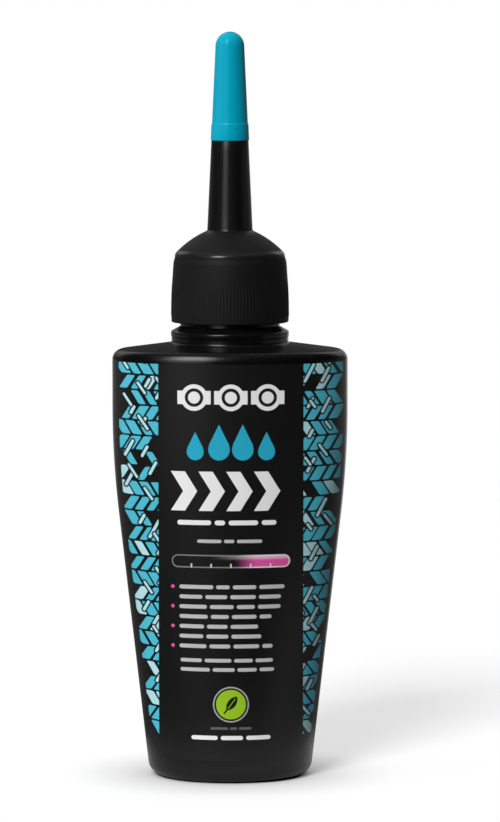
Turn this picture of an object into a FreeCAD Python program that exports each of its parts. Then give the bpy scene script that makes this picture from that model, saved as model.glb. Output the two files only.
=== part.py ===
import FreeCAD, Part
import Sketcher
import os
from math import pi, radians, sqrt

# A chain lube bottle: an oval squeeze bottle, a screw cap drawn up into a dropper spout, and a push-on tip cap.
# Millimetres, +Z up. The origin is the centre of the base, and the front label faces -Y.

sizes = [
    # the blown body
    ("top_width", 42.2, "body width above the knee"),
    ("top_depth", 28.0, "body depth above the knee"),
    ("base_width", 29.0, "body width at the base, before its edge is rounded"),
    ("base_depth", 26.0, "body depth at the base, before its edge is rounded"),
    ("end_turn", 65, "degrees that each round end of the oval turns before it meets a face"),
    ("knee_height", 57.0, "where the taper meets the upright sides"),
    ("knee_blend", 9.5, "length of the knee's bend above and below"),
    ("shoulder_height", 76.55, "height of the shoulder's outer edge"),
    ("shoulder_rise", 1.35, "from the shoulder's edge to the foot of the neck"),
    ("shoulder_round", 1.9, "radius of the shoulder's edge"),
    ("base_round", 2.2, "radius of the base's edge"),
    ("wall", 1.0, "wall of the body"),
    ("base_wall", 2.2, "from the standing ring to the floor inside"),
    ("cavity_round", 1.2, "radius of the edges inside"),
    ("ring_inset", 4.2, "from the body's side to the push-up in the base"),
    ("push_up", 1.0, "depth of the push-up"),
    ("headspace", 4.65, "air between the shoulder's edge and the fill"),
    # the neck
    ("neck_diameter", 15.9, "neck at the root of its thread"),
    ("neck_bore", 12.4, "bore of the neck"),
    ("neck_height", 13.1, "from the neck's foot to its rim"),
    ("collar_diameter", 20.95, "collar below the bead"),
    ("collar_height", 1.15, "height of that collar"),
    ("bead_diameter", 21.15, "bead that carries the neck in the mould"),
    ("bead_height", 0.9, "height of the bead's upright face"),
    ("bead_slope", 0.95, "rise of the bead's sloping top"),
    ("bead_round", 0.4, "radius of the bead's upper edge"),
    ("foot_round", 0.45, "radius where the collar leaves the shoulder"),
    ("land_clearance", 0.25, "from the plain land above the bead to the cap's wall"),
    ("land_height", 1.5, "height of that land"),
    ("land_slope", 0.6, "rise of the slope from the land in to the neck"),
    ("rim_chamfer", 0.4, "chamfer round the neck's rim"),
    # the front label
    ("label_film", 0.12, "thickness of the film"),
    ("label_margin", 0.9, "from the label's side to the body's outline"),
    ("label_bottom", 4.2, "height of the label's lower edge"),
    ("label_drop", 1.65, "from the shoulder's edge to the label's top"),
    ("label_corner", 5.5, "radius of the label's lower corners"),
    ("label_top_corner", 0.8, "radius of the label's upper corners"),
    # the seal
    ("washer_thickness", 0.8, "seal washer"),
    ("washer_overhang", 0.9, "reach of the washer inside the neck's bore"),
    ("washer_clearance", 0.25, "from the washer to the cap's wall"),
    # the spout cap
    ("thread_depth", 0.95, "radial room of the thread on the neck"),
    ("thread_clearance", 0.25, "from the thread to the cap's wall"),
    ("skirt_wall", 1.35, "wall of the skirt at its lower edge"),
    ("skirt_draft", 0.38, "how far each side of the skirt draws in towards its top"),
    ("skirt_swell", 0.11, "how far the skirt's side bows out from straight"),
    ("skirt_step", 0.25, "how far the skirt's top stands out from the band under the roof"),
    ("step_rise", 0.9, "rise of that step"),
    ("skirt_depth", 10.2, "from the sealing lip to the skirt's lower edge"),
    ("roof_base", 2.0, "from the sealing lip to the roof's outer corner"),
    ("roof_band", 0.6, "height of the plain band under the roof's outer corner"),
    ("roof_rise", 4.15, "height of the domed roof"),
    ("roof_radius", 17.0, "radius of the roof's dome"),
    ("roof_wall", 1.5, "upright thickness of the roof"),
    ("roof_corner", 0.9, "radius of the roof's outer corner"),
    ("lip_width", 1.2, "sealing lip on the washer"),
    ("spout_foot_diameter", 8.15, "spout where it leaves the roof"),
    ("spout_top_diameter", 6.66, "spout at the tip cap's seat"),
    ("spout_length", 16.05, "from the roof to the tip cap's seat"),
    ("spout_foot_round", 0.4, "radius at the spout's foot"),
    ("spout_wall", 1.15, "wall of the spout at its foot"),
    ("nozzle_wall", 0.9, "wall of the nozzle at the tip cap's seat"),
    ("outlet_diameter", 1.6, "hole at the nozzle's end"),
    ("rib_count", 108, "grip ribs round the skirt"),
    ("rib_height", 0.09, "how far a rib stands out"),
    ("rib_width", 0.4, "a rib across its foot"),
    ("rib_root", 0.12, "how far a rib reaches into the skirt"),
    ("rib_start", 0.9, "from the skirt's lower edge to the ribs"),
    ("rib_stop", 1.0, "from the ribs' upper ends to the skirt's top"),
    ("rib_sink", 0.03, "how far a rib's upper end is sunk in the skirt"),
    # the tip cap
    ("tip_length", 19.4, "from the seat to the top of the dome"),
    ("tip_lip", 0.12, "how far the tip cap's rim stands out from the spout"),
    ("tip_band_height", 2.85, "height of the band round the rim"),
    ("tip_band_step", 0.1, "how far the band stands out"),
    ("tip_band_bevel", 0.3, "height of the band's bevelled top"),
    ("tip_top_diameter", 5.15, "tip cap below its dome"),
    ("tip_wall", 0.62, "wall of the tip cap"),
    ("tip_clearance", 0.15, "from the nozzle to the tip cap"),
    ("tip_crown", 3.0, "from the inside of the tip cap to the top of its dome"),
    ("pin_length", 1.5, "pin that closes the outlet"),
    ("pin_clearance", 0.1, "from the pin to the outlet"),
]

doc = FreeCAD.newDocument("chain_lube_bottle")
sheet = doc.addObject("Spreadsheet::Sheet", "dims")
for row, (alias, size, note) in enumerate(sizes, start=1):
    sheet.set(f"A{row}", note)
    sheet.set(f"B{row}", str(size))
    sheet.setAlias(f"B{row}", alias)
doc.recompute()

# Heights that several pieces share, as expressions on the sheet.
neck_foot = "(dims.shoulder_height + dims.shoulder_rise)"
neck_rim = f"({neck_foot} + dims.neck_height)"
cap_seat = f"({neck_rim} + dims.washer_thickness)"
skirt_foot = f"({cap_seat} - dims.skirt_depth)"
roof_foot = f"({cap_seat} + dims.roof_base)"
band_foot = f"({roof_foot} - dims.roof_band)"
skirt_top = f"({band_foot} - dims.step_rise)"
spout_foot = f"({roof_foot} + dims.roof_rise)"
tip_seat = f"({spout_foot} + dims.spout_length)"
tip_top = f"({tip_seat} + dims.tip_length)"
tip_inside = f"({tip_top} - dims.tip_crown)"
nozzle_end = f"({tip_inside} - dims.tip_clearance)"

# Radii that several pieces share.
neck_radius = "(dims.neck_diameter / 2)"
bore_radius = "(dims.neck_bore / 2)"
collar_radius = "(dims.collar_diameter / 2)"
cap_inner_radius = f"({neck_radius} + dims.thread_depth + dims.thread_clearance)"
skirt_foot_radius = f"({cap_inner_radius} + dims.skirt_wall)"
skirt_top_radius = f"({skirt_foot_radius} - dims.skirt_draft)"
roof_foot_radius = f"({skirt_top_radius} - dims.skirt_step)"
spout_foot_radius = "(dims.spout_foot_diameter / 2)"
spout_top_radius = "(dims.spout_top_diameter / 2)"
outlet_radius = "(dims.outlet_diameter / 2)"
tip_rim_radius = f"({spout_top_radius} + dims.tip_lip)"
tip_top_radius = "(dims.tip_top_diameter / 2)"
nozzle_foot_radius = f"({tip_rim_radius} - dims.tip_wall - dims.tip_clearance)"
nozzle_end_radius = f"({tip_top_radius} - dims.tip_wall - dims.tip_clearance)"

# How much half the body's width gains for each millimetre of height, up to the knee.
side_slope = "((dims.top_width - dims.base_width) / (2 * dims.knee_height))"

near = 1e-4  # two places closer than this are the same place


def number(expression):
    return float(sheet.evalExpression(expression))


def new_body(label):
    body = doc.addObject("PartDesign::Body", label)
    body.Label = label
    return body


def origin_feature(body, role):
    return next(feature for feature in body.Origin.OriginFeatures if feature.Role == role)


def new_sketch(body, name, plane, height="0"):
    sketch = body.newObject("Sketcher::SketchObject", name)
    sketch.AttachmentSupport = [(origin_feature(body, plane), "")]
    sketch.MapMode = "FlatFace"
    sketch.setExpression("AttachmentOffset.Base.z", height)
    return sketch


def hold(sketch, kind, *places, at):
    index = sketch.addConstraint(Sketcher.Constraint(kind, *places, number(at)))
    sketch.setExpression(f"Constraints[{index}]", at)


def bowed_middle(start, end, radius):
    # The middle of the arc from start to end that bows to the right of the way it runs.
    chord = end - start
    rise = radius - sqrt(radius**2 - (chord.Length / 2) ** 2)
    return (start + end) / 2 + FreeCAD.Vector(chord.y, -chord.x, 0).normalize() * rise


def draw_outline(sketch, corners, bows=None):
    # A closed outline, drawn anticlockwise, through corners held at x and y expressions.
    # bows maps a side's number to the radius with which that side bows outwards.
    bows = bows or {}
    points = [FreeCAD.Vector(number(x), number(y), 0) for x, y in corners]
    sides = []
    for side, start in enumerate(points):
        end = points[(side + 1) % len(points)]
        if side in bows:
            curve = Part.Arc(start, bowed_middle(start, end, number(bows[side])), end)
        else:
            curve = Part.LineSegment(start, end)
        geometry = sketch.addGeometry(curve)
        begins_at_start = sketch.getPoint(geometry, 1).distanceToPoint(start) < near
        sides.append((geometry, 1, 2) if begins_at_start else (geometry, 2, 1))
    for side, (geometry, _, last) in enumerate(sides):
        following, following_first, _ = sides[(side + 1) % len(sides)]
        sketch.addConstraint(Sketcher.Constraint("Coincident", geometry, last, following, following_first))
    for (x, y), (geometry, first, _) in zip(corners, sides):
        for kind, place, axis in (("DistanceX", x, -2), ("DistanceY", y, -1)):
            if place == "0":
                sketch.addConstraint(Sketcher.Constraint("PointOnObject", geometry, first, axis))
            else:
                hold(sketch, kind, -1, 1, geometry, first, at=place)
    for side, radius in bows.items():
        hold(sketch, "Radius", sides[side][0], at=radius)


def revolve(body, name, corners, bows=None):
    sketch = new_sketch(body, f"{name}_profile", "XZ_Plane")
    draw_outline(sketch, corners, bows)
    feature = body.newObject("PartDesign::Revolution", name)
    feature.Profile = sketch
    feature.ReferenceAxis = (sketch, ["V_Axis"])
    feature.Angle = 360
    doc.recompute()
    return feature


def round_edges(body, name, base, radius, chosen):
    feature = body.newObject("PartDesign::Fillet", name)
    names = [f"Edge{index}" for index, edge in enumerate(base.Shape.Edges, start=1) if chosen(edge)]
    feature.Base = (base, names)
    feature.setExpression("Radius", radius)
    doc.recompute()
    return feature


def at_height(height):
    level = number(height)
    return lambda edge: max(abs(edge.BoundBox.ZMin - level), abs(edge.BoundBox.ZMax - level)) < near


def ring_at(radius, height):
    # The circle of that radius about the axis at that height.
    wanted = number(radius)
    level = at_height(height)
    return lambda edge: level(edge) and abs(edge.BoundBox.XMax - wanted) < near


def oval_section(body, name, height, half_width, half_depth):
    # An oval of four tangent arcs: two round ends, and two flatter faces between them.
    # Every oval meets at the same turn, so that a surface from one oval to another has no crease.
    spread = f"(({half_width} - {half_depth}) / (cos(dims.end_turn) + sin(dims.end_turn) - 1))"
    end = f"({half_width} - {spread} * cos(dims.end_turn))"
    face = f"({end} + {spread})"
    reach = f"({half_width} - {end})"
    meet = f"({reach} + {end} * cos(dims.end_turn))"
    end_radius, end_place, face_radius = number(end), number(reach), number(face)
    face_place = face_radius - number(half_depth)
    turn = radians(number("dims.end_turn"))
    sketch = new_sketch(body, name, "XY_Plane", height)
    for x, y, radius, start, stop in (
        (end_place, 0, end_radius, -turn, turn),
        (0, -face_place, face_radius, turn, pi - turn),
        (-end_place, 0, end_radius, pi - turn, pi + turn),
        (0, face_place, face_radius, pi + turn, 2 * pi - turn),
    ):
        circle = Part.Circle(FreeCAD.Vector(x, y, 0), FreeCAD.Vector(0, 0, 1), radius)
        sketch.addGeometry(Part.ArcOfCircle(circle, start, stop))
    right, back, left, front = range(4)
    sketch.addConstraint(Sketcher.Constraint("PointOnObject", right, 3, -1))
    hold(sketch, "DistanceX", -1, 1, right, 3, at=reach)
    hold(sketch, "Radius", right, at=end)
    hold(sketch, "DistanceX", -1, 1, right, 2, at=meet)
    sketch.addConstraint(Sketcher.Constraint("Vertical", right, 1, right, 2))
    sketch.addConstraint(Sketcher.Constraint("Symmetric", right, 2, left, 1, -2))
    sketch.addConstraint(Sketcher.Constraint("Symmetric", right, 1, left, 2, -2))
    sketch.addConstraint(Sketcher.Constraint("Equal", right, left))
    for first, second in ((right, back), (back, left), (left, front), (front, right)):
        sketch.addConstraint(Sketcher.Constraint("Coincident", first, 2, second, 1))
    hold(sketch, "Radius", back, at=face)
    hold(sketch, "Radius", front, at=face)
    return sketch


def loft(body, name, sections, kind="PartDesign::AdditiveLoft", ruled=False):
    feature = body.newObject(kind, name)
    feature.Profile = sections[0]
    feature.Sections = sections[1:]
    feature.Ruled = ruled
    doc.recompute()
    return feature


def oval_halves(share, offset):
    # Half the width and half the depth at a share of the way from the base's size to the top's,
    # moved out by offset.
    return [f"((dims.{base} + (dims.{top} - dims.{base}) * {share}) / 2 + {offset})"
            for base, top in (("base_width", "top_width"), ("base_depth", "top_depth"))]


def oval_body(body, floor, ceiling, offset):
    # The body from floor to ceiling, moved out by offset: a straight taper, a bend at the knee, upright sides.
    bend_start = "(dims.knee_height - dims.knee_blend)"
    bend_stop = "(dims.knee_height + dims.knee_blend)"
    foot, start, middle, stop, top = [
        oval_section(body, f"{body.Label}_{station}", height, *oval_halves(share, offset))
        for station, height, share in (
            ("floor", floor, f"({floor} / dims.knee_height)"),
            ("bend_start", bend_start, f"({bend_start} / dims.knee_height)"),
            ("bend", "dims.knee_height", "(1 - dims.knee_blend / (4 * dims.knee_height))"),
            ("bend_stop", bend_stop, "1"),
            ("ceiling", ceiling, "1"),
        )
    ]
    loft(body, f"{body.Label}_taper", [foot, start], ruled=True)
    loft(body, f"{body.Label}_knee", [start, middle, stop])
    loft(body, f"{body.Label}_upright", [stop, top], ruled=True)


def shoulder(body, edge, top, offset, radius):
    # The low shoulder, from the oval edge up to the round neck.
    sections = [
        oval_section(body, f"{body.Label}_shoulder_edge", edge, *oval_halves("1", offset)),
        oval_section(body, f"{body.Label}_shoulder_top", top, radius, radius),
    ]
    loft(body, f"{body.Label}_shoulder", sections, ruled=True)


def boolean(kind, label, base, tool):
    feature = doc.addObject(kind, label)
    feature.Label = label
    feature.Base = base
    feature.Tool = tool
    doc.recompute()
    return feature


def make_bottle_outside():
    body = new_body("bottle_outside")
    oval_body(body, "0", "dims.shoulder_height", "0")
    shoulder(body, "dims.shoulder_height", neck_foot, "0", collar_radius)
    bead_radius = "(dims.bead_diameter / 2)"
    bead_foot = f"({neck_foot} + dims.collar_height)"
    bead_edge = f"({bead_foot} + dims.bead_height)"
    land_radius = f"({cap_inner_radius} - dims.land_clearance)"
    land_foot = f"({bead_edge} + dims.bead_slope)"
    land_top = f"({land_foot} + dims.land_height)"
    neck = revolve(body, "neck", [
        ("0", neck_foot),
        (collar_radius, neck_foot),
        (collar_radius, bead_foot),
        (bead_radius, bead_foot),
        (bead_radius, bead_edge),
        (land_radius, land_foot),
        (land_radius, land_top),
        (neck_radius, f"({land_top} + dims.land_slope)"),
        (neck_radius, f"({neck_rim} - dims.rim_chamfer)"),
        (f"({neck_radius} - dims.rim_chamfer)", neck_rim),
        ("0", neck_rim),
    ])
    bead = round_edges(body, "bead_round", neck, "dims.bead_round", ring_at(bead_radius, bead_edge))
    foot = round_edges(body, "foot_round", bead, "dims.foot_round", at_height(neck_foot))
    edge = round_edges(body, "shoulder_round", foot, "dims.shoulder_round", at_height("dims.shoulder_height"))
    round_edges(body, "base_round", edge, "dims.base_round", at_height("0"))
    push_up = []
    for place, height in (("mouth", "0"), ("roof", "dims.push_up")):
        halves = oval_halves("0", f"(-dims.ring_inset - {height})")
        push_up.append(oval_section(body, f"push_up_{place}", height, *halves))
    loft(body, "push_up", push_up, "PartDesign::SubtractiveLoft", ruled=True)
    return body


def make_bottle_cavity():
    body = new_body("bottle_cavity")
    edge = "(dims.shoulder_height - dims.wall)"
    bore_foot = f"({neck_foot} - dims.wall)"
    past_rim = f"({neck_rim} + dims.wall)"
    oval_body(body, "dims.base_wall", edge, "(-dims.wall)")
    shoulder(body, edge, bore_foot, "(-dims.wall)", bore_radius)
    bore = revolve(body, "neck_bore", [
        ("0", bore_foot),
        (bore_radius, bore_foot),
        (bore_radius, past_rim),
        ("0", past_rim),
    ])
    top = round_edges(body, "cavity_top_round", bore, "dims.cavity_round", at_height(edge))
    round_edges(body, "cavity_base_round", top, "dims.cavity_round", at_height("dims.base_wall"))
    return body


def make_lubricant(cavity):
    fill = doc.addObject("Part::Box", "fill_level")
    fill.setExpression("Length", "dims.top_width")
    fill.setExpression("Width", "dims.top_depth")
    fill.setExpression("Height", "dims.shoulder_height - dims.headspace")
    fill.setExpression("Placement.Base.x", "-dims.top_width / 2")
    fill.setExpression("Placement.Base.y", "-dims.top_depth / 2")
    return boolean("Part::Common", "lubricant", cavity, fill)


def make_front_label(outside):
    # The film: what a slightly larger body leaves outside the bottle, within the label's outline.
    skin = new_body("label_skin")
    oval_body(skin, "0", "dims.shoulder_height", "dims.label_film")
    blank = new_body("label_blank")
    top_half = "(dims.top_width / 2 - dims.label_margin)"
    bottom_half = f"(dims.base_width / 2 + {side_slope} * dims.label_bottom - dims.label_margin)"
    bend_half = f"({top_half} - {side_slope} * dims.knee_blend)"
    bend_start = "(dims.knee_height - dims.knee_blend)"
    bend_stop = "(dims.knee_height + dims.knee_blend)"
    bend_radius = f"(2 * dims.knee_blend / {side_slope})"
    label_top = "(dims.shoulder_height - dims.label_drop)"
    sketch = new_sketch(blank, "label_outline", "XZ_Plane")
    draw_outline(sketch, [
        (f"-{bottom_half}", "dims.label_bottom"),
        (bottom_half, "dims.label_bottom"),
        (bend_half, bend_start),
        (top_half, bend_stop),
        (top_half, label_top),
        (f"-{top_half}", label_top),
        (f"-{top_half}", bend_stop),
        (f"-{bend_half}", bend_start),
    ], bows={2: bend_radius, 6: bend_radius})
    pad = blank.newObject("PartDesign::Pad", "label_pad")
    pad.Profile = sketch
    pad.setExpression("Length", "dims.top_depth")
    doc.recompute()

    def runs_back_at(height):
        at_level = at_height(height)
        return lambda edge: at_level(edge) and edge.BoundBox.XLength < near

    lower = round_edges(blank, "label_corners", pad, "dims.label_corner", runs_back_at("dims.label_bottom"))
    round_edges(blank, "label_top_corners", lower, "dims.label_top_corner", runs_back_at(label_top))
    panel = boolean("Part::Common", "label_panel", skin, blank)
    return boolean("Part::Cut", "front_label", panel, outside)


def make_seal_washer():
    body = new_body("seal_washer")
    inner = f"({bore_radius} - dims.washer_overhang)"
    outer = f"({cap_inner_radius} - dims.washer_clearance)"
    revolve(body, "washer", [(inner, neck_rim), (outer, neck_rim), (outer, cap_seat), (inner, cap_seat)])
    return body


def make_spout_cap():
    body = new_body("spout_cap")
    roof_slope = f"(dims.roof_rise / ({roof_foot_radius} - {spout_foot_radius}))"
    lip_middle = f"(({bore_radius} + {neck_radius}) / 2)"
    lip_inner = f"({lip_middle} - dims.lip_width / 2)"
    lip_outer = f"({lip_middle} + dims.lip_width / 2)"
    spout_bore = f"({spout_foot_radius} - dims.spout_wall)"
    skirt_height = f"({skirt_top} - {skirt_foot})"
    half_chord = f"(sqrt({skirt_height}^2 + dims.skirt_draft^2) / 2)"
    skirt_bow = f"(({half_chord}^2 + dims.skirt_swell^2) / (2 * dims.skirt_swell))"

    def under_roof(radius):
        return radius, f"({roof_foot} + ({roof_foot_radius} - {radius}) * {roof_slope} - dims.roof_wall)"

    shell = revolve(body, "cap_shell", [
        (cap_inner_radius, skirt_foot),
        (skirt_foot_radius, skirt_foot),
        (skirt_top_radius, skirt_top),
        (roof_foot_radius, band_foot),
        (roof_foot_radius, roof_foot),
        (spout_foot_radius, spout_foot),
        (spout_top_radius, tip_seat),
        (nozzle_foot_radius, tip_seat),
        (nozzle_end_radius, nozzle_end),
        (outlet_radius, nozzle_end),
        (f"({nozzle_foot_radius} - dims.nozzle_wall)", tip_seat),
        under_roof(spout_bore),
        under_roof(lip_inner),
        (lip_inner, cap_seat),
        (lip_outer, cap_seat),
        under_roof(lip_outer),
        under_roof(cap_inner_radius),
    ], bows={1: skirt_bow, 4: "dims.roof_radius"})
    roof_ring = ring_at(roof_foot_radius, roof_foot)
    spout_ring = ring_at(spout_foot_radius, spout_foot)
    corner = round_edges(body, "roof_corner", shell, "dims.roof_corner", roof_ring)
    round_edges(body, "spout_foot_round", corner, "dims.spout_foot_round", spout_ring)

    # One rib, three-sided, that follows the skirt's side and runs out in it at the top, and its copies.
    rib_start = f"({skirt_foot} + dims.rib_start)"
    rib_stop = f"({skirt_top} - dims.rib_stop)"
    foot_half = "(dims.rib_width / 2 * (1 + dims.rib_root / dims.rib_height))"
    sections = []
    for place, height, crest in (
        ("start", rib_start, "dims.rib_height"),
        ("middle", f"(({rib_start} + {rib_stop}) / 2)", "dims.rib_height"),
        ("stop", rib_stop, "(-dims.rib_sink)"),
    ):
        share = f"(({height} - {skirt_foot}) / {skirt_height})"
        swell = f"(4 * dims.skirt_swell * {share} * (1 - {share}))"
        skirt_radius = f"({skirt_foot_radius} - dims.skirt_draft * {share} + {swell})"
        sketch = new_sketch(body, f"rib_{place}", "XY_Plane", height)
        draw_outline(sketch, [
            (f"({skirt_radius} - dims.rib_root)", f"-{foot_half}"),
            (f"({skirt_radius} + {crest})", "0"),
            (f"({skirt_radius} - dims.rib_root)", foot_half),
        ])
        sections.append(sketch)
    rib = loft(body, "rib", sections, ruled=True)
    ribs = body.newObject("PartDesign::PolarPattern", "ribs")
    ribs.Originals = [rib]
    ribs.Axis = (origin_feature(body, "Z_Axis"), [""])
    ribs.Angle = 360
    ribs.setExpression("Occurrences", "dims.rib_count")
    body.Tip = ribs
    doc.recompute()
    return body


def make_tip_cap():
    body = new_body("tip_cap")
    side_foot = f"({tip_rim_radius} - dims.tip_band_step)"
    dome_foot = f"({tip_top} - {tip_top_radius})"
    side_fall = f"(({side_foot} - {tip_top_radius}) / ({dome_foot} - {tip_seat}))"
    band_top = "dims.tip_band_height"
    bevel_top = "(dims.tip_band_height + dims.tip_band_bevel)"
    pin_radius = f"({outlet_radius} - dims.pin_clearance)"
    pin_end = f"({tip_inside} - dims.pin_length)"
    revolve(body, "tip_shell", [
        (f"({nozzle_foot_radius} + dims.tip_clearance)", tip_seat),
        (tip_rim_radius, tip_seat),
        (f"({tip_rim_radius} - {side_fall} * {band_top})", f"({tip_seat} + {band_top})"),
        (f"({side_foot} - {side_fall} * {bevel_top})", f"({tip_seat} + {bevel_top})"),
        (tip_top_radius, dome_foot),
        ("0", tip_top),
        ("0", pin_end),
        (pin_radius, pin_end),
        (pin_radius, tip_inside),
        (f"({nozzle_end_radius} + dims.tip_clearance)", tip_inside),
    ], bows={4: tip_top_radius})
    return body


outside = make_bottle_outside()
cavity = make_bottle_cavity()
nodes = [
    boolean("Part::Cut", "bottle", outside, cavity),
    make_lubricant(cavity),
    make_front_label(outside),
    make_seal_washer(),
    make_spout_cap(),
    make_tip_cap(),
]
doc.recompute()

for item in doc.Objects:
    if {"Invalid", "Error"} & set(item.State):
        raise RuntimeError(f"{item.Label} failed: {item.State}")
for node in nodes:
    if node.Shape.isNull() or not node.Shape.isValid():
        raise RuntimeError(f"{node.Label} has no valid shape")

os.makedirs("parts", exist_ok=True)
for node in nodes:
    node.Shape.exportStep(f"parts/{node.Label}.step")
    print(node.Label, len(node.Shape.Solids), "solid", round(node.Shape.Volume, 1), "mm3")
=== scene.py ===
import bmesh
import bpy
import functools
import math
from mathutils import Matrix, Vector


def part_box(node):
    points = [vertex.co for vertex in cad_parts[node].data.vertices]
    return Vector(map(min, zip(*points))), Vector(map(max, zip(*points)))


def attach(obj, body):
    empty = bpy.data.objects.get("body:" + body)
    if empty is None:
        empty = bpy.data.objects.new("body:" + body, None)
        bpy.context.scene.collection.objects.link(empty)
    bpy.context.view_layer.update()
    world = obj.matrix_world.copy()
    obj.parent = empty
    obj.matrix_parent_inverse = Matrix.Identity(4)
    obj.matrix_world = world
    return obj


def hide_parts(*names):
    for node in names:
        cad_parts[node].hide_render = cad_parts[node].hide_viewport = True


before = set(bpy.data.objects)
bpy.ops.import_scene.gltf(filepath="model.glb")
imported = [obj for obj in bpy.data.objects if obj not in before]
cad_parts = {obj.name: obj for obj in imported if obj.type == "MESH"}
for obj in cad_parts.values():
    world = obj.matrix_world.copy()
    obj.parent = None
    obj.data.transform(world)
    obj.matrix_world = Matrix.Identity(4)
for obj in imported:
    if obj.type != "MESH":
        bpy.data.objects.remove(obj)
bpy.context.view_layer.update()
scene = bpy.context.scene
scene.view_settings.view_transform = "Standard"
mm = 0.001  # sizes below are in millimetres, and the floor's in metres
perMetre = 1000.0
quarterTurn = math.pi / 2
fullTurn = 2 * math.pi


def heightOf(node, corner):
    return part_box(node)[corner].z / mm


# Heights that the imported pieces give
neckRim = heightOf("seal_washer", 0)
capSeat = heightOf("seal_washer", 1)
skirtFoot = heightOf("spout_cap", 0)
nozzleEnd = heightOf("spout_cap", 1)
tipSeat = heightOf("tip_cap", 0)
tipTop = heightOf("tip_cap", 1)
bodyWidth = 2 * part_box("bottle")[1].x / mm
bodyDepth = 2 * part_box("bottle")[1].y / mm
print("frame loaded:", len(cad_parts), "nodes")


# Mesh tools

poleRadius = 1e-6  # a smaller ring is one point
crease = math.radians(42)  # faces that meet at more than this show an edge


def evenly(first, last, count):
    # Values from first to last in that many equal steps.
    return [first + (last - first) * step / count for step in range(count + 1)]


def polar(radius, angle):
    return radius * math.cos(angle), radius * math.sin(angle)


def roundedPath(corners):
    # Corners are (x, y), or (x, y, radius, steps) for one that becomes an arc of that many steps.
    path = []
    for index, (x, y, *arc) in enumerate(corners):
        here = Vector((x, y))
        if not arc:
            path.append(here)
            continue
        radius, steps = arc
        before = (Vector(corners[index - 1][:2]) - here).normalized()
        after = (Vector(corners[(index + 1) % len(corners)][:2]) - here).normalized()
        half = before.angle(after) / 2
        centre = here + (before + after).normalized() * (radius / math.sin(half))
        start = here + before * (radius / math.tan(half)) - centre
        end = here + after * (radius / math.tan(half)) - centre
        sweep = math.copysign(math.pi - 2 * half, start.x * end.y - start.y * end.x)
        for turn in evenly(0, sweep, steps):
            path.append(centre + Vector((start.x * math.cos(turn) - start.y * math.sin(turn),
                                         start.x * math.sin(turn) + start.y * math.cos(turn))))
    return path


def spaced(path, longest):
    # The same path with extra points on its long straight runs.
    result = [path[0]]
    for start, end in zip(path, path[1:]):
        parts = max(1, math.ceil((end - start).length / longest))
        result += [start.lerp(end, part / parts) for part in range(1, parts + 1)]
    return result


def skinRings(rings, closed=False):
    # Points and faces of a skin over rings of points; a ring of one point is a pole.
    points, faces, starts = [], [], []
    for ring in rings:
        starts.append(len(points))
        points += ring
    pairs = list(zip(range(len(rings)), range(1, len(rings))))
    if closed:
        pairs.append((len(rings) - 1, 0))
    for low, high in pairs:
        lowCount, highCount = len(rings[low]), len(rings[high])
        for column in range(max(lowCount, highCount)):
            corners = (starts[low] + column % lowCount, starts[low] + (column + 1) % lowCount,
                       starts[high] + (column + 1) % highCount, starts[high] + column % highCount)
            faces.append(tuple(dict.fromkeys(corners)))
    return points, faces


def turnedRings(path, count, swell=None):
    # The path, as (radius, height) points, turned about the axis in that many columns.
    # swell gives what to add to the radius at a column and a point.
    rings = []
    for index, (radius, height) in enumerate(path):
        if radius < poleRadius:
            rings.append([(0, 0, height)])
            continue
        ring = []
        for column in range(count):
            reach = radius + (swell(column, index) if swell else 0)
            ring.append((*polar(reach, fullTurn * column / count), height))
        rings.append(ring)
    return rings


def put(name, data):
    made = bpy.data.objects.new(name, data)
    scene.collection.objects.link(made)
    return made


def addPiece(name, skin, body, slot):
    points, faces = skin
    mesh = bpy.data.meshes.new(name)
    mesh.from_pydata([[part * mm for part in point] for point in points], [], faces)
    work = bmesh.new()
    work.from_mesh(mesh)
    bmesh.ops.recalc_face_normals(work, faces=work.faces)
    work.to_mesh(mesh)
    work.free()
    mesh.polygons.foreach_set("use_smooth", [True] * len(mesh.polygons))
    mesh.set_sharp_from_angle(angle=crease)
    piece = put(name, mesh)
    mesh.materials.append(finishes[slot])
    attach(piece, body)
    print("made", name, len(mesh.polygons), "faces")
    return piece


# Shader tools

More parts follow.
